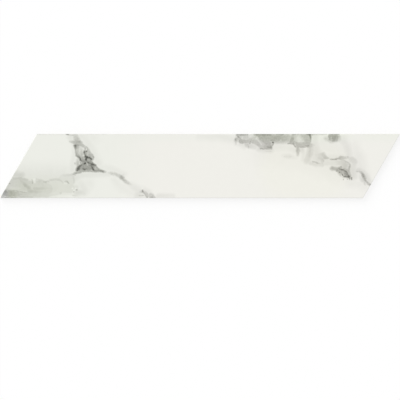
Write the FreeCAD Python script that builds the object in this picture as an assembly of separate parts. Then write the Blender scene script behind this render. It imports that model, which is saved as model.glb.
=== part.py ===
import FreeCAD, Part

import math
import os

# Chevron wall tile: one piece of rectified porcelain, cut to a slanted
# parallelogram and laid point to point with its mirror image.
#
# Frame, in millimetres: X runs along the long edges, Y across them and Z out
# of the glazed face. The origin is the middle of the outline, in the plane of
# the back's ribs, on which the tile lies.

# Outline of the glazed face
LONG_EDGE = 540.0
SLANTED_EDGE = 110.0
SHARP_CORNER = 60.0  # degrees, between a long edge and a slanted one

# Section
THICKNESS = 9.5  # from the ribs of the back to the glazed face
RIM_BEVEL = 0.6  # ground off all round the glazed face, at 45 degrees

# Key of the back: square pockets between crossing ribs, pressed into the
# whole slab before the tile is sawn out of it
KEY_PITCH = 19.0  # from the middle of one rib to the middle of the next
KEY_RIB = 4.0  # width of a rib in the plane that the tile lies on
KEY_DEPTH = 0.6
KEY_CORNER = 2.0  # what the flat across a pocket's corner takes off each of its two sides
KEY_DRAFT = 30.0  # degrees that a pocket's walls lean outwards

LEAN = SLANTED_EDGE * math.cos(math.radians(SHARP_CORNER))
WIDTH = SLANTED_EDGE * math.sin(math.radians(SHARP_CORNER))
LENGTH = LONG_EDGE + LEAN


def outline():
    """The parallelogram in the resting plane, drawn from its low left sharp corner."""
    start = FreeCAD.Vector(-LENGTH / 2, -WIDTH / 2, 0)
    along = FreeCAD.Vector(LONG_EDGE, 0, 0)
    slant = FreeCAD.Vector(LEAN, WIDTH, 0)
    return Part.makePolygon([start, start + along, start + along + slant, start + slant, start])


def sawn_blank():
    """The tile with a plain back: the outline at full thickness, its face rim bevelled."""
    slab = Part.Face(outline()).extrude(FreeCAD.Vector(0, 0, THICKNESS))
    face_rim = [edge for edge in slab.Edges if edge.CenterOfMass.z > THICKNESS - RIM_BEVEL]
    return slab.makeChamfer(RIM_BEVEL, face_rim)


def pocket_cutter():
    """A drafted block with flats across its corners, as wide as a pocket in the resting plane.

    It reaches as far out of the back as it goes in.
    """
    mouth = (KEY_PITCH - KEY_RIB) / 2
    spread = KEY_DEPTH * math.tan(math.radians(KEY_DRAFT))
    wide = mouth + spread
    narrow = mouth - spread
    # The wedge tapers along its own Y, which is then turned up to Z.
    block = Part.makeWedge(
        -wide, -KEY_DEPTH, -wide, -narrow, -narrow, wide, KEY_DEPTH, wide, narrow, narrow
    )
    block.rotate(FreeCAD.Vector(0, 0, 0), FreeCAD.Vector(1, 0, 0), 90)
    corners = [edge for edge in block.Edges if edge.BoundBox.ZLength > KEY_DEPTH]
    return block.makeChamfer(KEY_CORNER, corners)


def pocket_places():
    """Middles of all pockets that reach the tile's length and width, with ribs crossing at the origin."""
    columns = math.ceil(LENGTH / 2 / KEY_PITCH)
    rows = math.ceil(WIDTH / 2 / KEY_PITCH)
    for column in range(-columns, columns):
        for row in range(-rows, rows):
            yield FreeCAD.Vector((column + 0.5) * KEY_PITCH, (row + 0.5) * KEY_PITCH, 0)


def tile():
    """The finished tile: the blank, with its back's pockets running out at the sawn sides."""
    cutter = pocket_cutter()
    pockets = []
    for place in pocket_places():
        pocket = cutter.copy()
        pocket.translate(place)
        pockets.append(pocket)
    return sawn_blank().cut(Part.makeCompound(pockets))


def main():
    os.makedirs("parts", exist_ok=True)
    tile().exportStep("parts/tile.step")


main()
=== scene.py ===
import math

import bpy
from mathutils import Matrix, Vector


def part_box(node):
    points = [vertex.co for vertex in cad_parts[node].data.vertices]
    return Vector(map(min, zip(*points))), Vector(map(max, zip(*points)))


# Looks of a chevron wall tile: polished porcelain with a printed marble face, lying face up.
#
# The scene is in metres. The print is laid out in millimetres from the middle of the face, with X
# along the long edges and Y across them, as in the model's frame.

MM = 0.001

# Picture that the camera gives, and where the tile's middle lies in it, in pixels
PICTURE_SIZE = 400
TILE_MIDDLE_ROW = 166
LENS_MM = 200.0
SENSOR_MM = 36.0

# Light: each share is how bright a white card on the floor would be by that light alone
SKY_SHARE = 0.75
SUN_SHARE = 0.25
SUN_SPREAD = 50.0  # degrees
SUN_TILT = 48.0  # degrees from straight up
SUN_BEARING = 130.0  # degrees from +X, towards +Y
SUN_DISTANCE = 2.0  # changes nothing in the light, and only keeps the lamp clear of the tile
FLOOR_ALBEDO = 0.8  # for the light that it throws back
FLOOR_SEEN_ALBEDO = 0.25  # its own glow makes up the rest of the white, so that shadows stay faint
FLOOR_RADIUS = 12.0
FLOOR_SIDES = 64
FLOOR_DROP = 0.05 * MM  # keeps the floor off the ribs that rest on it

# Finish of the tile. A noise is (waves per millimetre, detail, roughness), and its level is 0 to 1.
GLAZE_MM = 0.7  # down to here from the face, over the ground rim, the sides show the print
GLOSS_NOISE = (0.035, 3.0, 0.5)
ROUGH_LEVELS = (0.3, 0.7)  # of the gloss noise or the specks, where a surface is least and most rough
FACE_ROUGHNESS = (0.17, 0.27)
BODY_ROUGHNESS = (0.62, 0.8)
RIPPLE_NOISE = (0.25, 2.0, 0.5)
RIPPLE_MM = 0.012  # height of the waves in the polished face
SPECKLE_NOISE = (2.2, 3.0, 0.7)
SPECKLE_LEVELS = (0.35, 0.62)  # where the fired body is darkest and palest
BODY_DARK = (212, 208, 199)  # display levels of its dark specks
BODY_PALE = (225, 222, 214)  # and of its pale ones
GRIT_MM = 0.06  # height of its specks
GRIND_LINES = (0.03, 0.03, 2.2)  # how fast the grinding's lines change, per millimetre along X, Y and Z
GRIND_NOISE = (1.0, 3.0, 0.6)
GRIND_LEVELS = (0.45, 0.75)  # where a line begins and where it is strongest
BODY_GROUND = (200, 197, 189)  # the lines go towards this colour
GRIND_STRENGTH = 0.5  # and the strongest one goes this far
KILN_DUST = (240, 239, 235)  # white powder off the kiln's rollers, which stays on the back's ribs
RIB_DUST_MM = 0.05  # it lies up to here from the plane that the ribs rest on
DUST_NOISE = (0.12, 5.0, 0.7)
DUST_LEVELS = (0.35, 0.6)  # where it is thinnest and thickest
DUST_COVER = (0.15, 0.9)  # share of the body that it hides there

# Inks of the print: display levels at these tones
PRINT_TONES = (0.0, 0.25, 0.5, 0.75, 1.0, 1.4)
GREEN_INK = (
    (236.2, 237.2, 230), (203, 204, 196), (169, 170, 162), (133, 134, 126), (95, 96, 88), (11, 12, 8),
)
WARM_INK = (
    (239.8, 238.7, 232.5), (204, 203, 197), (170, 169, 162), (134, 133, 126), (96, 95, 89), (12, 12, 8),
)
KHAKI_INK = (
    (239.7, 238.7, 230.3), (204, 203, 194), (170, 169, 160), (134, 133, 124), (96, 95, 86), (12, 12, 7),
)
OLIVE_INK = (
    (236, 238, 227), (202, 204, 192), (168, 170, 157), (132, 134, 120), (94, 96, 84), (11, 12, 6),
)
GREY_INK = (
    (237, 237.5, 233), (203, 203.5, 200), (169, 169.5, 166), (133, 133.5, 130), (95, 95.5, 92), (11, 11, 9),
)
WARM_ACROSS = (-150.0, -55.0)  # the ground turns from green to warm along these places
WARM_UP = (32.0, 43.0)  # and partly back to green along these ones
WARM_AT_TOP = 0.35  # share of the warm tint that is left above them

# Unevenness of the print. A wander is (waves per millimetre, push in millimetres, detail, roughness).
HAZE_WANDER = (0.04, 4.0, 3.0, 0.6)  # of hazes and tints
PATCH_WANDER = (0.12, 2.4, 4.0, 0.6)  # of washes and patches
VEIN_WANDER = (0.22, 1.3, 3.0, 0.8)  # of veins and flecks
MOTTLE_NOISE = (0.22, 5.0, 0.62)
MOTTLE_FACTORS = (0.75, 1.25)  # on the tone of hazes and washes, at the noise's levels 0 and 1
GRAIN_NOISE = (0.4, 4.0, 0.65)
GRAIN_FACTORS = (0.3, 1.7)  # on the tone of veins, at those levels
PATCH_GRAIN = 0.7  # share of the grain's effect that patches get
CLOUD_NOISE = (0.1, 4.0, 0.5)
CLOUD_TONES = (-0.015, 0.015)  # added to the tone all over the face

# Marks of the print, and one line of painted shade along the top edge. Each is a chain of points
# (x, y, reach, tone): reach is the distance in millimetres from the chain's line to the mark's edge,
# and tone is how dark the mark is, from 0, the bare ground, to 1, the darkest grey, or a little more
# for a dot that the picture blurs. The number before the chain is the share of the reach over which the
# mark fades out.

# Broad faint shades with a soft edge
HAZES = [
    # Above the band of the lower left edge, and over the left end
    (1.0, [(-275, -25, 42, 0.11), (-205, -25, 42, 0.11)]),
    (1.0, [(-276, -13, 15, 0.19), (-266, -15, 13, 0.23)]),
    # Round the dark mark and under it
    (1.0, [(-176, 46, 13, 0.06), (-161, 24, 12, 0.06), (-151, 4, 10, 0.07)]),
    (1.0, [(-158, 40, 14, 0.035)]),
    (1.0, [(-193, 43, 8, 0.1), (-188, 30, 6, 0.05), (-188, 12, 7, 0.06), (-190, -6, 11, 0.09)]),
    (1.0, [(-190, -18, 14, 0.12), (-176, -13, 9, 0.09), (-150, -12, 8, 0.07), (-135, -12, 7, 0.08)]),
    (1.0, [(-178, -25, 14, 0.07), (-172, -35, 14, 0.09)]),
    (1.0, [(-165, -25, 14, 0.05)]),
    (1.0, [(-183, -39.6, 10, 0.16), (-174, -39.2, 9, 0.12)]),
    (1.0, [(-185, -31, 9, 0.14)]),
    # Along the thin vein, down to the bottom edge
    (1.0, [(-150, -2, 9, 0.05), (-125, -6, 8, 0.05), (-112, -12, 8, 0.06)]),
    (1.0, [(-128, -20, 10, 0.05), (-118, -32, 12, 0.04), (-100, -38, 14, 0.04)]),
    (1.0, [(-104, -28, 8, 0.07), (-92, -36, 12, 0.09), (-80, -40, 12, 0.1)]),
    (1.0, [(-92, -42, 12, 0.12)]),
    (1.0, [(-62, -44, 6, 0.1), (-40, -45, 6, 0.07)]),
    # Round the patches of the top edge and under them
    (1.0, [(0, 45, 11, 0.04), (25, 45, 15, 0.055), (48, 41, 12, 0.062)]),
    (1.0, [(92, 18, 32, 0.028), (150, 8, 26, 0.03), (208, -8, 30, 0.05)]),
    (1.0, [(56, 38, 12, 0.12), (66, 30, 9, 0.1)]),
    (0.7, [(70, 31, 6.5, 0.24), (74, 29.5, 6.5, 0.18), (82, 28, 6.5, 0.14)]),
    (1.0, [(88, 25, 9, 0.14), (106, 23, 10, 0.13)]),
    (1.0, [(112, 29, 16, 0.09), (130, 28, 14, 0.06), (142, 24, 10, 0.09)]),
    (1.0, [(124, 15, 8, 0.06), (134, 14, 9, 0.1), (143, 12, 8, 0.05)]),
    (1.0, [(152, 26, 7, 0.16), (154, 20, 9, 0.1), (154, 10, 9, 0.09)]),
    (1.0, [(170, 46, 10, 0.09), (170, 33, 12, 0.11), (174, 20, 16, 0.13), (176, 10, 14, 0.15)]),
    (0.7, [(185, 33, 18, 0.05), (206, 24, 17, 0.05)]),
    (1.0, [(213, 39, 15, 0.09), (218.5, 29, 14, 0.11), (220.5, 17, 13, 0.11)]),
    # Over the right end
    (1.0, [(172, 12, 17, 0.12), (190, 8, 18, 0.11), (214, 8, 18, 0.13), (226, -2, 14, 0.12)]),
    (1.0, [(230, 30, 14, 0.045), (234, 12, 18, 0.07), (242, -12, 18, 0.07)]),
    (1.0, [(228, -2, 13, 0.15), (227, -14, 13, 0.16)]),
    (1.0, [(222, -24, 13, 0.05), (245, -30, 14, 0.05)]),
    (1.0, [(234, -5, 9, 0.18), (243, -8, 8, 0.14), (247.5, -15, 9, 0.15), (251, -22, 8, 0.13)]),
    (1.0, [(238, -14, 8, 0.11), (242, -21, 8, 0.2)]),
]

# Grey areas with a ragged edge and hardly any grain
WASHES = [
    # Band of the lower left edge, with its wavy upper rim
    (0.4, [(-292, -30, 12.5, 0.24), (-276, -28, 12, 0.24), (-262, -29, 11.5, 0.25), (-250, -31, 11, 0.22)]),
    (0.4, [(-250, -31, 11, 0.22), (-240, -30, 12.5, 0.22), (-234, -31, 11, 0.21), (-227, -34, 11, 0.2)]),
    (0.4, [(-227, -34, 11, 0.18), (-219, -31.5, 12.5, 0.15), (-208, -31, 12, 0.135)]),
    (0.35, [(-202, -23, 13.5, 0.14), (-197, -23, 13.5, 0.14)]),
    (0.5, [(-203, -33.5, 10, 0.14), (-192.5, -33.5, 10.5, 0.145)]),
    (0.5, [(-262, -42, 6, 0.27), (-240, -42.2, 5.8, 0.21), (-226, -43.2, 4.6, 0.17)]),
    (0.8, [(-226, -43.4, 4.8, 0.17), (-217, -42.6, 4.6, 0.135), (-209, -41.4, 4.2, 0.115)]),
    (0.9, [(-277, -19, 6, 0.28), (-266, -18.5, 6.5, 0.3), (-257, -21.5, 5, 0.27)]),
    (1.0, [
        (-269, -19, 6.5, 0.31), (-264.5, -24, 7, 0.32),
        (-258, -29.5, 7.5, 0.4), (-255, -32.5, 9.5, 0.36),
    ]),
    (1.0, [(-254, -37, 9.5, 0.35), (-245, -38, 9.5, 0.33), (-236, -38, 8, 0.24)]),
    (1.0, [(-246, -34, 9, 0.3), (-234, -33.6, 8.5, 0.28), (-216, -32.8, 6, 0.15)]),
    (1.0, [(-246, -24, 8, 0.23), (-237, -23, 8, 0.25)]),
    (0.9, [(-203, -14, 4.6, 0.17), (-190, -13.5, 4.6, 0.2)]),
    (1.0, [(-188.4, -16, 5, 0.2), (-187.8, -24, 4.4, 0.19)]),
    (0.9, [(-207.5, -40, 4.5, 0.2)]),
    # Dark corner of the left tip and the olive block beside it
    (0.7, [(-294, -46, 4.5, 0.3), (-291, -41, 5.2, 0.54), (-289.2, -38.2, 5, 0.62)]),
    (1.0, [(-288, -36.2, 6, 0.46), (-284.4, -32.4, 5, 0.18)]),
    (0.4, [(-287.5, -41.8, 5, 0.5), (-283.5, -41, 6.4, 0.48), (-279, -41.2, 6.4, 0.43)]),
    (0.5, [(-279, -41.2, 6.4, 0.43), (-272.5, -41.6, 6, 0.37)]),
    (0.8, [(-272, -42.5, 6, 0.37), (-262, -44, 5.5, 0.32), (-250, -45.5, 4.5, 0.25)]),
    # Grey clouds between the patches and the knot of the right end
    (0.8, [(165, 28, 10, 0.17), (163.5, 18, 10, 0.18), (158.5, 7.8, 8.8, 0.155)]),
    (0.9, [(164, 28, 6, 0.24), (163, 14, 5, 0.21)]),
    (0.9, [(164, 5, 7, 0.15), (182, 2, 7, 0.14)]),
    (0.8, [(174.5, 16, 5.5, 0.15), (183, 16.6, 6.8, 0.24), (186.5, 12.5, 5, 0.32), (191, 11.3, 3, 0.24)]),
    (0.9, [(177, 12, 8, 0.19), (181.6, 10.4, 6.2, 0.25), (181, 5, 5, 0.18)]),
    (0.8, [(187, 4, 6, 0.12), (200, 4, 7, 0.13), (210, 5, 7.5, 0.2)]),
    (0.7, [(212, 6.5, 7, 0.22), (216, -1, 7.5, 0.26)]),
    (0.9, [(218.5, 2, 5, 0.25), (218.5, -4, 5, 0.25)]),
    (0.8, [(225, 9.5, 8.5, 0.18), (230, 7, 8, 0.18), (229.5, 1, 7.5, 0.14)]),
]

# Mostly darker areas with a ragged edge and grain
PATCHES = [
    # Neck, lobes and foot of the dark mark
    (0.8, [(-185, 48, 5.5, 0.2), (-184.8, 42, 7, 0.27), (-183.5, 39, 7.5, 0.34)]),
    (0.8, [
        (-190, 35.6, 3.4, 0.3), (-185.5, 35.4, 5.4, 0.4),
        (-180.5, 35.3, 6.2, 0.46), (-177.5, 33.8, 5, 0.38),
    ]),
    (0.8, [(-184, 33, 5, 0.42), (-176.4, 31.1, 4.8, 0.36), (-173.2, 29.6, 4.4, 0.37)]),
    (0.8, [(-169.4, 27.6, 4.4, 0.3), (-166.8, 24, 5, 0.3), (-166.3, 20, 5.2, 0.34)]),
    (0.8, [(-166.3, 20, 5.2, 0.34), (-164.6, 17, 5.8, 0.43), (-163, 12, 5.4, 0.5)]),
    (0.9, [(-182, 29, 4.8, 0.46), (-183, 24, 4.4, 0.27), (-182, 17, 5.4, 0.41), (-178.5, 13, 6, 0.46)]),
    (1.0, [(-178, 27, 8, 0.18), (-177, 21, 8, 0.26), (-175, 16, 7.5, 0.42), (-174, 13, 6, 0.46)]),
    (0.9, [(-170.5, 24, 5, 0.38), (-170.5, 19, 5, 0.56), (-172.5, 15, 5, 0.56)]),
    (0.7, [(-175, 10, 5, 0.52), (-172.6, 6.4, 5, 0.6), (-164, 7, 5, 0.54)]),
    (0.8, [(-165, 9.6, 4.6, 0.52)]),
    (1.0, [(-181.5, 9, 5.5, 0.22), (-181.5, 3, 6, 0.4)]),
    (0.9, [(-177, 4.6, 4.8, 0.46)]),
    (0.5, [(-172, 4, 5.5, 0.58), (-163, 4, 5.2, 0.62)]),
    (0.8, [(-176, -5, 4.6, 0.56), (-164, -5, 4.6, 0.56)]),
    (0.5, [(-177.5, -1.5, 6.2, 0.58), (-168, -1.2, 7, 0.6), (-161, -1.5, 6.4, 0.62)]),
    (0.8, [(-160, -3.5, 5.2, 0.58), (-154.5, -4.5, 5, 0.46), (-150, -6.5, 4, 0.42), (-143, -8, 2.6, 0.4)]),
    # Foot of the thin vein
    (0.9, [(-74.2, -43.2, 5.4, 0.26), (-71, -44, 5, 0.28)]),
    # Patches of the top edge, from left to right
    (0.9, [(55.8, 39, 8, 0.4)]),
    (0.6, [(60.5, 37.3, 5.6, 0.43), (66, 36.8, 5.2, 0.38), (74, 36.8, 5, 0.33)]),
    (0.8, [(60, 43.5, 5, 0.28), (70, 43, 5, 0.26)]),
    (0.9, [(74, 45, 6.5, 0.16), (80, 44, 6, 0.18)]),
    (0.9, [(73, 41, 4, 0.26), (81, 41.4, 4, 0.28), (84.5, 44, 4, 0.26)]),
    (0.7, [(76, 36.8, 6, 0.35), (82, 36.4, 6, 0.33), (87, 32, 5.4, 0.33), (91, 28, 4.5, 0.3)]),
    (0.5, [(87, 48, 6, 0.44), (91.6, 42, 6.5, 0.45), (99, 38, 8, 0.42), (102.5, 31, 6.2, 0.4)]),
    (0.4, [(98, 46, 9, 0.44), (112, 46, 9.5, 0.44), (126, 46, 9.5, 0.34)]),
    (0.9, [(108, 42, 13.8, 0.47), (118, 42, 13.8, 0.46), (129, 41.4, 13.6, 0.37)]),
    (0.9, [(88, 41, 7, 0.3), (93, 36, 7, 0.31), (96, 31, 6.5, 0.32)]),
    (0.7, [(92, 28.5, 5, 0.31), (100, 28.5, 5.4, 0.43), (104.4, 28.7, 4.8, 0.48)]),
    (0.9, [(137.3, 44, 7, 0.38), (137, 40, 7.4, 0.48), (136, 35.5, 6.6, 0.45)]),
    (0.6, [(140, 35, 4.6, 0.38), (145, 32, 6, 0.38), (153, 32.2, 6.4, 0.36), (160, 32.2, 6.4, 0.38)]),
    (0.7, [(152, 46, 6.5, 0.34), (158, 42, 8, 0.36), (160.5, 35, 8, 0.38), (161, 31, 7, 0.36)]),
    (0.8, [(144, 42, 10, 0.33), (150, 41, 10, 0.34)]),
    (0.9, [(146, 28, 5, 0.4), (145.8, 22, 5.6, 0.35), (145.6, 17, 4.4, 0.2)]),
    (0.5, [(194, 43.6, 5, 0.44), (198.5, 42, 6.8, 0.53), (202, 43, 5.3, 0.49)]),
    (0.8, [(193.5, 40, 4.8, 0.45), (198.5, 39, 5.4, 0.5), (203.4, 39.8, 5.4, 0.43)]),
    (0.9, [(206, 43, 5.5, 0.3)]),
    (1.0, [(187, 40.5, 6.5, 0.22), (196, 37.5, 7, 0.24), (207, 40.4, 8.2, 0.23)]),
    # Knot of the right end
    (0.6, [(209, 12.3, 4.4, 0.38), (213, 12.2, 4.6, 0.28)]),
    (0.8, [(213, 12, 4.6, 0.28), (221, 12.6, 4.6, 0.18)]),
    (0.7, [(204.5, -5.8, 4.6, 0.46), (208, -8, 4.8, 0.46), (213, -10, 6, 0.5), (218, -12, 5.8, 0.58)]),
    (1.0, [(196.4, -3.8, 6.4, 0.44), (204, -4.3, 5.5, 0.42), (210, -3, 5, 0.42)]),
    (1.0, [(207, -10.6, 4.8, 0.3), (213, -14.4, 5.4, 0.4), (221, -15.4, 5.4, 0.48)]),
    (1.0, [(214, -5, 6, 0.42), (221, -9, 6, 0.4), (223, -14, 5.5, 0.4)]),
]
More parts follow.
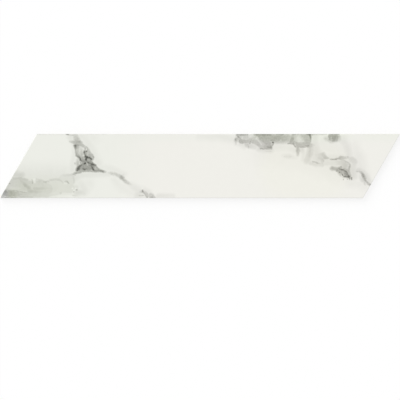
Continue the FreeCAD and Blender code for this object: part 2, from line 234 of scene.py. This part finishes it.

# Fine lines and dots with a crooked edge and the most grain, and the painted shade of the top rim
VEINS_AND_RIM_SHADE = [
    # Darkest streak of the left tip's corner
    (1.0, [(-290.6, -38, 3, 0.6), (-286.6, -39.4, 3, 0.64)]),
    # Streaks in the left band
    (1.0, [(-286, -36.6, 3.6, 0.42), (-275, -36.8, 3.6, 0.36)]),
    (1.0, [(-275, -36.8, 3.6, 0.36), (-265, -39.2, 4, 0.36), (-255, -40.3, 4, 0.31)]),
    (0.9, [
        (-290, -47.2, 2.2, 0.5), (-275, -47.2, 2.2, 0.42),
        (-272, -47.2, 2, 0.26), (-240, -47.2, 2, 0.13),
    ]),
    (1.0, [
        (-243, -19.5, 5, 0.19), (-236, -22, 4.6, 0.22),
        (-230, -24.2, 4.6, 0.33), (-224, -22.6, 5, 0.2),
    ]),
    (1.0, [(-249.5, -21, 2.6, 0.29), (-249.4, -25.4, 2.8, 0.42)]),
    (1.0, [
        (-222, -20.6, 6, 0.21), (-210, -20.2, 6, 0.22),
        (-206, -22.6, 4.4, 0.21), (-203, -25.6, 3, 0.22),
    ]),
    (1.0, [(-201, -23.3, 2.8, 0.25), (-198, -22.8, 3.6, 0.33), (-195.6, -25.6, 2.6, 0.36)]),
    (0.9, [(-283, -26, 2.2, 0.5)]),
    (1.0, [(-183.5, -35.6, 3.4, 0.38)]),
    (1.0, [(-187.6, -38.2, 2.6, 0.32)]),
    (1.0, [(-189.5, -43.8, 2.4, 0.2), (-183, -44, 2.4, 0.14)]),
    # Painted shade of the top rim: a thin grey line along the top edge
    (1.0, [(-243, 47.8, 2.6, 0.11), (-140, 47.8, 2.6, 0.1)]),
    (1.0, [(-140, 47.8, 2.6, 0.05), (295, 47.8, 2.6, 0.05)]),
    # Dark mark: dot on the top edge, left wall, hearts, ridge and legs
    (1.0, [(-198.4, 47.4, 2.4, 0.6), (-196.4, 47.3, 2.4, 0.75)]),
    (1.0, [(-195, 46.2, 3.2, 0.2), (-186, 46, 3.2, 0.24)]),
    (1.0, [(-193.5, 36.6, 2.8, 0.22), (-190, 35.4, 3.6, 0.34)]),
    (1.0, [(-185.2, 29.8, 5.2, 0.92), (-185.2, 27.4, 3.8, 0.68)]),
    (1.0, [(-184.8, 30.6, 3.4, 0.66), (-180.8, 31, 3.2, 0.5)]),
    (1.0, [
        (-185, 27.4, 3.6, 0.64), (-184.7, 23.5, 2.8, 0.44),
        (-184, 18, 3.2, 0.48), (-183.6, 15, 3, 0.54),
    ]),
    (1.0, [
        (-183.4, 14.8, 2.6, 0.62), (-181.4, 14.2, 3, 0.86),
        (-178.9, 12.4, 3, 0.82), (-177.6, 9.3, 3.6, 1.1),
    ]),
    (1.0, [(-178, 9, 3.2, 1.0), (-175.5, 7.2, 3, 0.8), (-171, 6.2, 3.4, 0.8), (-167.2, 6.9, 3, 0.64)]),
    (1.0, [(-170.8, 4, 3.8, 1.2), (-172.2, 2.4, 3.2, 0.9)]),
    (1.0, [(-171.8, 21.6, 3, 0.86), (-172, 19.8, 3.2, 1.0)]),
    (1.0, [(-168.8, 21.8, 2.8, 0.88)]),
    (1.0, [(-171.6, 18.6, 3.4, 0.74), (-170, 15.4, 3.6, 0.78)]),
    (1.0, [(-171.6, 27, 2.4, 0.42), (-170.3, 24.2, 2.2, 0.44)]),
    (1.0, [(-168, 27, 2.6, 0.4), (-166.8, 22.4, 2.8, 0.46)]),
    (1.0, [(-170.4, 14.2, 3.8, 1.15), (-168.4, 13.4, 3.8, 1.15), (-167.6, 12.6, 3.8, 1.2)]),
    (1.0, [(-168.8, 12, 4.2, 1.15), (-169.6, 9.8, 4.2, 1.1), (-169, 7.6, 3.2, 0.9)]),
    (1.0, [
        (-168, 12.5, 3.8, 1.22), (-164.8, 12.3, 3.9, 0.96),
        (-162.2, 11, 3.8, 1.0), (-162, 9.6, 3.2, 0.85),
    ]),
    (1.0, [(-160.6, 17, 2.8, 0.44), (-158.8, 13, 3, 0.5), (-159.8, 9.5, 2.8, 0.46)]),
    (1.0, [
        (-167.8, 5, 3.8, 0.9), (-163.5, 4.2, 4.2, 0.92),
        (-159.6, 2.2, 4.6, 1.1), (-156, 0.8, 3.6, 1.0),
    ]),
    (1.0, [(-161.8, 0.8, 3.4, 0.95), (-160.3, -2.8, 3.6, 1.05), (-158.3, -5.7, 4, 1.02)]),
    (1.0, [(-156, -0.5, 3, 0.6), (-152, -3.8, 2.8, 0.5), (-147.5, -6.8, 2.8, 0.5)]),
    (1.0, [(-158, -6.2, 3.2, 0.8), (-154.6, -6.8, 3.4, 0.64), (-152, -7.2, 3.6, 0.6)]),
    (1.0, [
        (-151, -6.2, 4.2, 0.64), (-148.5, -6.8, 4, 0.7),
        (-144.6, -7.9, 3.6, 0.7), (-140.4, -9, 3, 0.26),
    ]),
    (1.0, [
        (-171.5, 3.1, 3.2, 0.94), (-174.6, 1.8, 3.2, 0.72),
        (-177.6, 0.4, 4, 0.95), (-180, -1.6, 5, 1.08),
    ]),
    (1.0, [(-180.2, -2, 5.1, 0.98), (-181.5, -4.5, 5.2, 0.98), (-182.8, -6.2, 3.8, 0.92)]),
    (1.0, [(-179, -2.6, 3.6, 0.9), (-179.4, -4.8, 3.2, 0.86)]),
    (1.0, [(-174, -3.6, 2.8, 0.92), (-171.6, -5.2, 3.4, 1.02)]),
    (1.0, [(-171, -5.4, 2.8, 0.8), (-168.7, -4.2, 2.8, 0.78), (-167, -6, 2.6, 0.62)]),
    (1.0, [(-180, -7.4, 3, 0.5), (-171, -7.6, 3, 0.48), (-168, -7.5, 2.8, 0.43), (-151, -8.2, 2.8, 0.44)]),
    (1.0, [
        (-177, -9, 3, 0.5), (-183, -9.7, 3.8, 0.5),
        (-187, -11.4, 3.6, 0.42), (-190.5, -12.6, 2.8, 0.22),
    ]),
    (1.0, [(-185.8, 3.9, 3.2, 0.34)]),
    (1.0, [(-186, -13.4, 2.6, 0.26)]),
    # Thin vein that runs from the dark mark to the bottom edge
    (1.0, [
        (-137, -10, 3.2, 0.12), (-132, -11, 4.8, 0.24),
        (-126, -12, 4.8, 0.24), (-119.6, -14.8, 5.4, 0.28),
    ]),
    (1.0, [(-117.4, -16.2, 5.4, 0.52), (-115.6, -18, 5.2, 0.5), (-114, -20.2, 4.2, 0.35)]),
    (1.0, [(-114, -20.2, 4.2, 0.35), (-110.4, -23.4, 4.4, 0.3)]),
    (1.0, [(-116, -15.4, 4, 0.22), (-113.6, -12.8, 3.2, 0.12)]),
    (1.0, [(-110.4, -23.4, 4.4, 0.31), (-106.4, -26, 4.4, 0.23), (-101, -28, 3.6, 0.1)]),
    (1.0, [(-85.4, -36.4, 2.2, 0.66), (-85.3, -38.2, 2.6, 0.72)]),
    (1.0, [(-85, -38.5, 2.8, 0.44), (-82, -41, 2.8, 0.37), (-78.8, -46, 3.4, 0.38)]),
    (1.0, [(-89, -38.5, 3.6, 0.2), (-85.6, -38, 5, 0.28), (-81, -40, 4.6, 0.26), (-77, -44, 4.6, 0.3)]),
    (1.0, [(-90, -43.8, 2, 0.28), (-84.5, -43.9, 2, 0.26)]),
    (1.0, [(-74.5, -43.5, 5.4, 0.28), (-71, -43.5, 4.6, 0.28), (-68, -47, 3.6, 0.28)]),
    (1.0, [(-74.5, -46.3, 2.8, 0.34), (-70.4, -46.4, 3, 0.5)]),
    # Darker lines and dots of the top patches
    (1.0, [(53.2, 39.6, 3.4, 0.6), (53, 36, 2.8, 0.3), (53.6, 32.4, 3, 0.15)]),
    (1.0, [(55.2, 45.4, 3, 0.45), (57.6, 42.8, 3.4, 0.58), (60.4, 40.4, 3, 0.42)]),
    (0.8, [(56, 46.8, 3.6, 0.48), (70, 46.6, 3.4, 0.45)]),
    (1.0, [(72, 47.6, 3, 0.18), (80, 47.6, 3, 0.2)]),
    (1.0, [(67.4, 32.4, 3.8, 0.25), (71, 31.4, 4.2, 0.31), (72.6, 27.8, 3.8, 0.27)]),
    (1.0, [(74, 33.5, 3, 0.42), (76, 39, 3, 0.4)]),
    (0.8, [(81, 47.2, 3.4, 0.46), (86, 46.8, 3.8, 0.62), (96, 46.8, 3.8, 0.62), (105.5, 46.8, 3.6, 0.56)]),
    (0.8, [(114, 46.8, 2.8, 0.52), (123.5, 46.8, 2.8, 0.52)]),
    (1.0, [(94, 44.5, 4, 0.52)]),
    (1.0, [(103.5, 38.4, 2.6, 0.5), (109.5, 37.8, 3, 0.58)]),
    (1.0, [(108.4, 34.9, 3.2, 0.96)]),
    (1.0, [(108.8, 34, 2.6, 0.58), (107.8, 30.6, 2.8, 0.42)]),
    (1.0, [(98, 29, 3.6, 0.46), (102.5, 27.7, 3.2, 0.62), (105.9, 27.9, 3.4, 0.7)]),
    (1.0, [(90, 26.2, 3, 0.5), (95, 25.8, 2.8, 0.46), (106.4, 25.7, 2.8, 0.42)]),
    (1.0, [(96, 22, 3, 0.14), (106, 22, 2.6, 0.18)]),
    (1.0, [(131, 33.7, 2.4, 0.42), (138.5, 33.4, 3, 0.55), (142.5, 28.4, 2.6, 0.42)]),
    (0.9, [(138, 47, 2.6, 0.47), (141.5, 47, 2.6, 0.47)]),
    (1.0, [(149, 28.2, 2.8, 0.45), (156, 28.4, 2.8, 0.46)]),
    (1.0, [(158, 30.3, 3.6, 0.54), (161.5, 30.3, 3.2, 0.54)]),
    (1.0, [(158.5, 47, 3.2, 0.52), (163, 46.6, 3.8, 0.84), (164.3, 42.5, 3.2, 0.64), (164, 37, 3.2, 0.44)]),
    (1.0, [(163.6, 46.8, 3.2, 1.0)]),
    (1.0, [(165, 30.5, 6, 0.32), (168.5, 31.5, 6, 0.2)]),
    (1.0, [(166, 47.2, 3.6, 0.38), (172, 47.6, 3, 0.25), (188, 47.6, 3, 0.24)]),
    (1.0, [(193, 47.6, 3, 0.56), (206, 47.4, 3.2, 0.52)]),
    (1.0, [(140, 47.6, 3, 0.4), (156, 47.6, 3, 0.4)]),
    (1.0, [(193.3, 43.5, 3, 0.62), (193, 40.5, 2.8, 0.56)]),
    (1.0, [(199.5, 43, 5, 0.6), (199, 39, 4, 0.55)]),
    # Wisps and the knot at the right end
    (1.0, [(126, 14.2, 3.6, 0.12), (136, 14, 3.6, 0.13)]),
    (1.0, [(183.6, 12, 3, 0.28), (183.8, 6.5, 2.6, 0.24)]),
    (1.0, [(167.5, 6.2, 3.4, 0.27), (171.8, 6, 3.6, 0.28), (174.6, 4, 3.2, 0.34), (178.6, 3.6, 2.8, 0.2)]),
    (1.0, [(193.5, 10, 2.4, 0.26), (197, 9.8, 2.4, 0.5), (200.5, 9.8, 2.4, 0.41), (203.2, 9.9, 2.6, 0.54)]),
    (1.0, [(203.2, 11, 2.2, 0.4), (206.5, 11, 2.8, 0.33)]),
    (1.0, [(219.6, 14, 2.6, 0.27), (219.6, 11.8, 2.4, 0.28)]),
    (1.0, [(212, 9.2, 3.4, 0.25), (216.8, 6.4, 3.6, 0.29), (221, 4, 3.6, 0.31), (223, 1, 3.8, 0.37)]),
    (1.0, [(223, 1, 3.8, 0.37), (221.6, -4, 3.8, 0.43), (220.8, -8.5, 3.4, 0.44)]),
    (1.0, [(197, -3.5, 3.4, 0.52)]),
    (1.0, [(206, -3.2, 2.8, 0.46), (209.6, -1, 3, 0.5)]),
    (1.0, [(205.5, -4, 2.6, 0.56), (209.4, -5, 2.8, 0.78), (213, -5.7, 2.8, 0.84), (216, -7.5, 3.2, 0.84)]),
    (1.0, [
        (216, -7.5, 3.2, 0.84), (219, -9.8, 3.2, 0.72),
        (220, -13.2, 3.6, 0.74), (221.9, -16.1, 4, 0.98),
    ]),
    (1.0, [(217.3, -11.5, 4, 0.62), (218.5, -14, 4, 0.66)]),
    (1.0, [(207.3, -9.4, 3, 0.72)]),
    (1.0, [(212, -12.2, 2.6, 0.9), (212.2, -14, 2.4, 0.74)]),
    (1.0, [(214, -15.4, 2.6, 0.72), (217.5, -15.7, 2.8, 0.8), (221.6, -16.2, 3.2, 1.0)]),
    (1.0, [(222.6, -18.4, 2.4, 0.7)]),
    (1.0, [(225.4, -17.2, 2.2, 0.66), (225.6, -20, 2.2, 0.52)]),
    (1.0, [(209, -14.2, 2, 0.42)]),
    (1.0, [(213.5, -20, 2.2, 0.42)]),
    (1.0, [(219.5, -19.8, 2.2, 0.28)]),
    (1.0, [(222.4, -20, 2.2, 0.32)]),
    # Vein that leaves by the right end
    (1.0, [
        (232.5, -8.4, 3, 0.28), (236.6, -7.8, 3.8, 0.26),
        (240.6, -10, 4, 0.4), (242.7, -13.4, 4.6, 0.62),
    ]),
    (1.0, [
        (242.5, -13.4, 4.6, 0.6), (244.2, -18, 4.6, 0.52),
        (246.4, -22.4, 4, 0.38), (250, -26, 3.6, 0.34),
    ]),
    (1.0, [(250, -26, 3.8, 0.36), (253, -27.8, 3.4, 0.52), (255.5, -28.6, 3, 0.36)]),
    (1.0, [(245.4, -14.6, 4.6, 0.26), (246.6, -18.4, 5.2, 0.28)]),
    (1.0, [(245, -21, 6, 0.24), (245.5, -26.5, 4.6, 0.2)]),
]

# Pale flecks and chinks in the darker marks: the tone is the share of the darkness that they take
FLECKS = [
    # In the left band and under its right end
    (1.0, [(-246.6, -20.5, 3.6, 0.7), (-246, -24, 3, 0.6)]),
    (1.0, [(-202, -26, 2.4, 0.5), (-199, -25.9, 2.2, 0.5)]),
    (1.0, [(-212, -45, 3.4, 0.4), (-190, -46, 3.4, 0.9)]),
    (1.0, [(-189.6, -33.5, 2.4, 0.9)]),
    (1.0, [(-187.4, -36, 2.4, 0.8)]),
    (1.0, [(-185, -33.2, 2.2, 0.8)]),
    (1.0, [(-282, -32.5, 3.6, 0.16), (-270, -33, 3.6, 0.16)]),
    (1.0, [(-267, -43.9, 2, 0.2), (-250, -43.9, 2, 0.12)]),
    # In the dark mark
    (1.0, [(-184.6, 13.4, 2.4, 0.4), (-183.8, 11.4, 2.2, 0.3)]),
    (1.0, [(-172.7, 25.2, 2, 0.6)]),
    (1.0, [(-168.8, 25.8, 2, 0.5), (-169, 24.7, 2, 0.6)]),
    (1.0, [(-173.5, 15.6, 2.8, 0.75)]),
    (1.0, [(-168.2, 3.9, 2.2, 0.45), (-166.8, 1.5, 2.2, 0.3)]),
    (1.0, [(-179.6, 4, 2.2, 0.6)]),
    (1.0, [(-183.8, 1.2, 2.4, 0.3)]),
    (1.0, [(-168.8, -9, 2, 0.3)]),
    (1.0, [(-156.2, -4.2, 2, 0.3)]),
    # At the foot of the thin vein
    (1.0, [(-85.5, -33, 2.8, 0.7)]),
    # In the patches of the top edge
    (1.0, [(56.2, 39.2, 2.4, 0.36), (56.4, 33.8, 2.8, 0.55)]),
    (1.0, [(62.8, 42.2, 2.8, 0.4)]),
    (0.9, [(75, 44.5, 3.4, 0.2)]),
    (1.0, [(119.8, 38, 2.6, 0.26)]),
    (1.0, [(109, 46.6, 3, 0.2), (115, 45.8, 3, 0.12)]),
    (0.9, [(146, 41.5, 7, 0.58), (148.5, 39.5, 7.5, 0.58)]),
    (1.0, [(141.6, 31.6, 2.6, 0.26)]),
    (1.0, [(195.6, 42.4, 2, 0.35)]),
    (1.0, [(195.4, 39.4, 2.2, 0.4)]),
    # In the knot of the right end
    (1.0, [(212.4, -8.6, 2.4, 0.25), (213, -12, 2.4, 0.3)]),
    (1.0, [(210.3, -14, 2.2, 0.5)]),
    (1.0, [(211.4, -15.4, 2.4, 0.6)]),
    (1.0, [(215.8, -20, 3, 0.8)]),
]

# Where the print turns more yellow, olive or plain grey: the tone is the tint's strength
KHAKI_PLACES = [
    (0.5, [(130, -5, 55, 1.0), (183, -5, 55, 1.0)]),
]

OLIVE_PLACES = [
    (0.5, [(-277, -40, 10, 1.0)]),
    (1.0, [(-264, -33, 24, 0.9), (-200, -32, 24, 0.7)]),
    (1.0, [(84, 45, 12, 0.9), (160, 44, 15, 1.0), (206, 46, 14, 0.9), (222, 48, 12, 0.4)]),
    (1.0, [(250, 48, 14, 0.4), (290, 48, 14, 0.4)]),
]

GREY_PLACES = [
    (0.6, [(-294, -42, 9, 1.0)]),
]


def srgb(red, green, blue):
    """A colour given in 0 to 255 display levels, as the linear colour that a shader takes."""
    levels = [level / 255 for level in (red, green, blue)]
    linear = [c / 12.92 if c <= 0.04045 else ((c + 0.055) / 1.055) ** 2.4 for c in levels]
    return (*linear, 1.0)


def even_grey(level):
    """A grey of this linear level, with 1 for white."""
    return (level, level, level, 1.0)


class Graph:
    """Short calls that add a node to a tree and return its output socket, for the next call to use."""

    def __init__(self, tree):
        self.tree = tree

    def feed(self, socket, value):
        """Links an input socket to value where that is a socket too, and otherwise sets it."""
        if isinstance(value, bpy.types.NodeSocket):
            self.tree.links.new(value, socket)
        else:
            socket.default_value = value

    def add(self, kind, inputs=(), output=0, **settings):
        """A node with these settings, and with its inputs fed in order or by name."""
        node = self.tree.nodes.new(kind)
        for name, value in settings.items():
            setattr(node, name, value)
        named = inputs.items() if isinstance(inputs, dict) else enumerate(inputs)
        for key, value in named:
            self.feed(node.inputs[key], value)
        return None if output is None else node.outputs[output]

    def math(self, operation, *values):
        return self.add("ShaderNodeMath", values, operation=operation)

    def vector(self, operation, *values):
        return self.add("ShaderNodeVectorMath", values, operation=operation)

    def measure(self, operation, *values):
        """A vector operation that gives a number, such as a distance."""
        return self.add("ShaderNodeVectorMath", values, output=1, operation=operation)

    def smooth(self, value, low, high, bottom=0.0, top=1.0):
        """bottom where value is at low, top where it is at high, with an S curve between."""
        inputs = (value, low, high, bottom, top)
        settings = {"interpolation_type": "SMOOTHSTEP", "clamp": False}
        return self.add("ShaderNodeMapRange", inputs, **settings)

    def noise(self, place, scale, detail, roughness, output="Fac"):
        inputs = {"Vector": place, "Scale": scale, "Detail": detail, "Roughness": roughness}
        return self.add("ShaderNodeTexNoise", inputs, output=output)

    def spread(self, level, bottom, top):
        """bottom where a noise's level is 0, top where it is 1."""
        return self.math("MULTIPLY_ADD", level, top - bottom, bottom)

    def ramp(self, value, stops):
        """A colour ramp with its stops given as (place, colour)."""
        color = self.add("ShaderNodeValToRGB", (value,))
        elements = color.node.color_ramp.elements
        while len(elements) < len(stops):
            elements.new(1.0)
        for element, (place, shade) in zip(elements, stops):
            element.position = place
            element.color = shade
        return color

    def mix(self, share, one, other):
        """The first colour where share is 0, the second where it is 1."""
        node = self.tree.nodes.new("ShaderNodeMix")
        node.data_type = "RGBA"
        for key, value in (("Factor_Float", share), ("A_Color", one), ("B_Color", other)):
            socket = next(s for s in node.inputs if s.identifier == key)
            self.feed(socket, value)
        return next(s for s in node.outputs if s.identifier == "Result_Color")


def stretch_group():
    """Node group that lays one stretch of a mark over what is drawn so far.

    A stretch runs from a start point, and its reach and tone change evenly along it. Run is zero
    for a round spot.
    """
    tree = bpy.data.node_groups.new("stretch_of_mark", "ShaderNodeTree")
    for name in ("Place", "Start", "Run"):
        tree.interface.new_socket(name, in_out="INPUT", socket_type="NodeSocketVector")
    for name in ("Reach", "Reach Gain", "Tone", "Tone Gain", "Solid Share", "Darkest So Far"):
        tree.interface.new_socket(name, in_out="INPUT", socket_type="NodeSocketFloat")
    tree.interface.new_socket("Darkest", in_out="OUTPUT", socket_type="NodeSocketFloat")
    graph = Graph(tree)
    given = tree.nodes.new("NodeGroupInput").outputs
    offset = graph.vector("SUBTRACT", given["Place"], given["Start"])
    run = given["Run"]
    share = (graph.measure("DOT_PRODUCT", offset, run), graph.measure("DOT_PRODUCT", run, run))
    along = graph.math("MINIMUM", graph.math("MAXIMUM", graph.math("DIVIDE", *share), 0.0), 1.0)
    nearest = graph.add("ShaderNodeVectorMath", {"Vector": run, "Scale": along}, operation="SCALE")
    distance = graph.measure("DISTANCE", offset, nearest)
    reach = graph.math("MULTIPLY_ADD", along, given["Reach Gain"], given["Reach"])
    tone = graph.math("MULTIPLY_ADD", along, given["Tone Gain"], given["Tone"])
    outwards = graph.math("DIVIDE", distance, reach)
    here = graph.smooth(outwards, 1.0, given["Solid Share"], 0.0, tone)
    darkest = graph.math("MAXIMUM", here, given["Darkest So Far"])
    graph.add("NodeGroupOutput", (darkest,), output=None)
    return tree


def drawn(graph, group, place, marks):
    """Tone of the darkest of these marks."""
    darkest = 0.0
    for fade, chain in marks:
        for start, end in zip(chain, chain[1:] or chain):
            inputs = {
                "Place": place,
                "Start": (start[0], start[1], 0.0),
                "Run": (end[0] - start[0], end[1] - start[1], 0.0),
                "Reach": start[2],
                "Reach Gain": end[2] - start[2],
                "Tone": start[3],
                "Tone Gain": end[3] - start[3],
                "Solid Share": 1 - fade,
                "Darkest So Far": darkest,
            }
            darkest = graph.add("ShaderNodeGroup", inputs, node_tree=group)
    return darkest


def warped(graph, place, scale, push, detail, roughness):
    """place, moved about by up to push millimetres, in waves of about 1 / scale millimetres."""
    wander = graph.noise(place, scale, detail, roughness, output="Color")
    centred = graph.vector("SUBTRACT", wander, (0.5, 0.5, 0.5))
    return graph.vector("MULTIPLY_ADD", centred, (2 * push, 2 * push, 0.0), place)


def marble_print(graph, place):
    """Colour of the printed face at a place in millimetres, with painted shade along its top rim."""
    # How dark the print is, with the painted shade of the top rim: the darkest mark at each place, less
    # what the flecks take
    group = stretch_group()
    blurred = warped(graph, place, *HAZE_WANDER)
    ragged = warped(graph, place, *PATCH_WANDER)
    crooked = warped(graph, place, *VEIN_WANDER)
    hazes = drawn(graph, group, blurred, HAZES)
    washes = drawn(graph, group, ragged, WASHES)
    patches = drawn(graph, group, ragged, PATCHES)
    veins_and_rim_shade = drawn(graph, group, crooked, VEINS_AND_RIM_SHADE)
    flecks = drawn(graph, group, crooked, FLECKS)
    mottle = graph.spread(graph.noise(place, *MOTTLE_NOISE), *MOTTLE_FACTORS)
    grain = graph.spread(graph.noise(place, *GRAIN_NOISE), *GRAIN_FACTORS)
    tone = graph.math("MULTIPLY", graph.math("MAXIMUM", hazes, washes), mottle)
    softer_grain = graph.math("MULTIPLY_ADD", grain, PATCH_GRAIN, 1 - PATCH_GRAIN)
    tone = graph.math("MAXIMUM", tone, graph.math("MULTIPLY", patches, softer_grain))
    tone = graph.math("MAXIMUM", tone, graph.math("MULTIPLY", veins_and_rim_shade, grain))
    tone = graph.math("MULTIPLY", tone, graph.math("SUBTRACT", 1.0, flecks))
    cloud = graph.spread(graph.noise(place, *CLOUD_NOISE), *CLOUD_TONES)
    ink = graph.math("MULTIPLY", graph.math("ADD", tone, cloud), 1 / PRINT_TONES[-1])

    # Its colour: the inks at that tone, blended by place
    across = graph.add("ShaderNodeSeparateXYZ", (place,), output="X")
    up = graph.add("ShaderNodeSeparateXYZ", (place,), output="Y")
    warm_share = graph.math(
        "MULTIPLY", graph.smooth(across, *WARM_ACROSS), graph.smooth(up, *WARM_UP, 1.0, WARM_AT_TOP)
    )
    khaki_share = drawn(graph, group, blurred, KHAKI_PLACES)
    olive_share = drawn(graph, group, blurred, OLIVE_PLACES)
    grey_share = drawn(graph, group, blurred, GREY_PLACES)
    shades = []
    for levels in (GREEN_INK, WARM_INK, KHAKI_INK, OLIVE_INK, GREY_INK):
        stops = [(step / PRINT_TONES[-1], srgb(*level)) for step, level in zip(PRINT_TONES, levels)]
        shades.append(graph.ramp(ink, stops))
    green, warm, khaki, olive, grey = shades
    warm = graph.mix(khaki_share, warm, khaki)
    color = graph.mix(olive_share, graph.mix(warm_share, green, warm), olive)
    return graph.mix(grey_share, color, grey)


def porcelain_material(top):
    """Polished print on the face and its ground rim, bare fired body on the sides and the back."""
    material = bpy.data.materials.new("glazed_porcelain")
    material.use_nodes = True
    graph = Graph(material.node_tree)
    shader = material.node_tree.nodes["Principled BSDF"]
    spot_in_tile = graph.add("ShaderNodeTexCoord", output="Object")
    place = graph.vector("MULTIPLY", spot_in_tile, (1 / MM, 1 / MM, 1 / MM))
    flat = graph.vector("MULTIPLY", place, (1.0, 1.0, 0.0))
    height = graph.add("ShaderNodeSeparateXYZ", (place,), output="Z")

    on_face = graph.math("GREATER_THAN", height, top / MM - GLAZE_MM)
    print_color = marble_print(graph, flat)
    speckle = graph.noise(place, *SPECKLE_NOISE)
    body_shades = (srgb(*BODY_DARK), srgb(*BODY_PALE))
    body_color = graph.ramp(speckle, list(zip(SPECKLE_LEVELS, body_shades)))
    ground = graph.noise(graph.vector("MULTIPLY", place, GRIND_LINES), *GRIND_NOISE)
    lined = graph.smooth(ground, *GRIND_LEVELS, 0.0, GRIND_STRENGTH)
    body_color = graph.mix(lined, body_color, srgb(*BODY_GROUND))
    on_ribs = graph.math("LESS_THAN", height, RIB_DUST_MM)
    dusted = graph.smooth(graph.noise(flat, *DUST_NOISE), *DUST_LEVELS, *DUST_COVER)
    body_color = graph.mix(graph.math("MULTIPLY", on_ribs, dusted), body_color, srgb(*KILN_DUST))
    color = graph.mix(on_face, body_color, print_color)
    graph.feed(shader.inputs["Base Color"], color)

    gloss_wave = graph.noise(place, *GLOSS_NOISE)
    face_rough = graph.smooth(gloss_wave, *ROUGH_LEVELS, *FACE_ROUGHNESS)
    body_rough = graph.smooth(speckle, *ROUGH_LEVELS, *BODY_ROUGHNESS)
    difference = graph.math("SUBTRACT", face_rough, body_rough)
    rough = graph.math("MULTIPLY_ADD", on_face, difference, body_rough)
    graph.feed(shader.inputs["Roughness"], rough)

    ripple = graph.math("MULTIPLY", graph.noise(place, *RIPPLE_NOISE), RIPPLE_MM)
    grit = graph.math("MULTIPLY", speckle, GRIT_MM)
    relief = graph.math("MULTIPLY_ADD", on_face, graph.math("SUBTRACT", ripple, grit), grit)
    bump_inputs = {"Strength": 1.0, "Distance": MM, "Height": relief}
    bump = graph.add("ShaderNodeBump", bump_inputs, output="Normal")
    graph.feed(shader.inputs["Normal"], bump)
    return material


def white_to_the_eye(graph):
    """1 for rays that reach the camera straight, by a mirror or through glass, and 0 for light."""
    path = graph.tree.nodes.new("ShaderNodeLightPath")
    seen = graph.math("MAXIMUM", path.outputs["Is Camera Ray"], path.outputs["Is Glossy Ray"])
    return graph.math("MAXIMUM", seen, path.outputs["Is Transmission Ray"])


def make_floor():
    """A pale round floor that reads white in the open and keeps the tile's shadow."""
    bpy.ops.mesh.primitive_circle_add(
        vertices=FLOOR_SIDES, radius=FLOOR_RADIUS, fill_type="NGON", location=(0.0, 0.0, -FLOOR_DROP)
    )
    floor = bpy.context.object
    floor.name = "floor"
    material = bpy.data.materials.new("floor_paper")
    material.use_nodes = True
    shader = material.node_tree.nodes["Principled BSDF"]
    shader.inputs["Roughness"].default_value = 1.0
    shader.inputs["Specular IOR Level"].default_value = 0.0
    shader.inputs["Emission Color"].default_value = even_grey(1.0)
    graph = Graph(material.node_tree)
    seen = white_to_the_eye(graph)
    paper = graph.mix(seen, even_grey(FLOOR_ALBEDO), even_grey(FLOOR_SEEN_ALBEDO))
    glow = graph.math("MULTIPLY", seen, 1 - FLOOR_SEEN_ALBEDO)
    graph.feed(shader.inputs["Base Color"], paper)
    graph.feed(shader.inputs["Emission Strength"], glow)
    floor.data.materials.append(material)


def make_light():
    """An even white sky and one broad soft light from above the far left."""
    world = bpy.data.worlds.new("studio")
    world.use_nodes = True
    bpy.context.scene.world = world
    background = world.node_tree.nodes["Background"]
    background.inputs["Color"].default_value = even_grey(1.0)
    graph = Graph(world.node_tree)
    seen = white_to_the_eye(graph)
    strength = graph.math("MULTIPLY_ADD", seen, 1 - SKY_SHARE, SKY_SHARE)
    graph.feed(background.inputs["Strength"], strength)

    tilt = math.radians(SUN_TILT)
    bearing = math.radians(SUN_BEARING)
    aside = math.sin(tilt)
    towards = Vector((aside * math.cos(bearing), aside * math.sin(bearing), math.cos(tilt)))
    lamp = bpy.data.lights.new("softbox", "SUN")
    lamp.angle = math.radians(SUN_SPREAD)
    lamp.energy = SUN_SHARE * math.pi / math.cos(tilt)
    softbox = bpy.data.objects.new("softbox", lamp)
    softbox.rotation_mode = "QUATERNION"
    softbox.rotation_quaternion = towards.to_track_quat("Z", "Y")
    softbox.location = towards * SUN_DISTANCE
    bpy.context.scene.collection.objects.link(softbox)


def make_camera(length, top):
    """Looks straight down, with the tile as long as the picture is wide."""
    data = bpy.data.cameras.new("camera")
    data.lens = LENS_MM
    data.sensor_width = SENSOR_MM
    camera = bpy.data.objects.new("camera", data)
    pixel = length / PICTURE_SIZE
    below = (PICTURE_SIZE / 2 - TILE_MIDDLE_ROW) * pixel
    distance = length * LENS_MM / SENSOR_MM
    camera.location = (0.0, -below, top + distance)
    bpy.context.scene.collection.objects.link(camera)
    bpy.context.scene.camera = camera


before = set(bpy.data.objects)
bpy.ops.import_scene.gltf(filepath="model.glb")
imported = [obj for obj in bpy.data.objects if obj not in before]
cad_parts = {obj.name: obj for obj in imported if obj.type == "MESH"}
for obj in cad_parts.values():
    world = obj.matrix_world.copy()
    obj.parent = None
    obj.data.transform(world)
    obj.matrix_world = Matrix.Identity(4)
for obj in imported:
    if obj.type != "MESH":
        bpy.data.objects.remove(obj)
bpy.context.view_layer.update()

bpy.context.scene.view_settings.view_transform = "Standard"

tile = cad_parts["tile"]
low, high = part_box("tile")
tile.data.materials.clear()
tile.data.materials.append(porcelain_material(high.z))

make_floor()
make_light()
make_camera(high.x - low.x, high.z)
